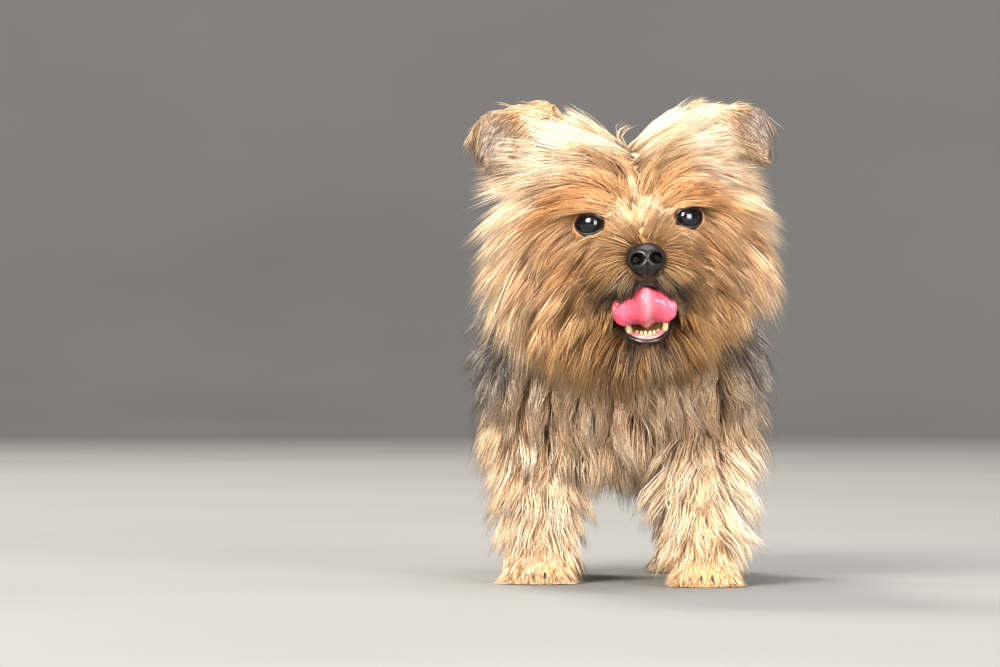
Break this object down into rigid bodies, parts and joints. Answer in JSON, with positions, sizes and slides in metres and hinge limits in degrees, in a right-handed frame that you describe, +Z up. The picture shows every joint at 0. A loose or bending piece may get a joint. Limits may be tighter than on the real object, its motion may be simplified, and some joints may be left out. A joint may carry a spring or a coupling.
{
  "type": "yorkshire terrier, whole animal",
  "caption": "Small long-coated terrier in a still walking stance, mouth open with the tongue curled up, ears folded forward, as a life-size museum model.",
  "frame": {"origin": "middle of the dog's outline, on the floor", "axes": "+Y towards the tail, so the dog faces -Y; +X to the dog's left; +Z up"},
  "size_m": [0.1876, 0.3664, 0.2695],
  "materials": {
    "golden_coat": "long silky hair, golden tan",
    "pale_coat": "long wavy hair, pale tan",
    "steel_coat": "long silky hair, steel grey",
    "ear_coat": "short velvety hair, grey brown",
    "dark_eye": "wet, dark brown",
    "nose_leather": "moist, black",
    "wet_tongue": "wet, pink"
  },
  "bodies": {
    "root": {"head": "golden_coat", "lower_jaw": "golden_coat", "neck": "golden_coat", "chest": "pale_coat", "torso": "steel_coat", "tail": "steel_coat", "ear_left": "ear_coat", "ear_right": "ear_coat", "eye_left": "dark_eye", "eye_right": "dark_eye", "nose": "nose_leather", "tongue": "wet_tongue", "foreleg_left": "pale_coat", "foreleg_right": "pale_coat", "hindleg_left": "pale_coat", "hindleg_right": "pale_coat", "forepaw_left": "pale_coat", "forepaw_right": "pale_coat", "hindpaw_left": "pale_coat", "hindpaw_right": "pale_coat"}
  },
  "joints": []
}
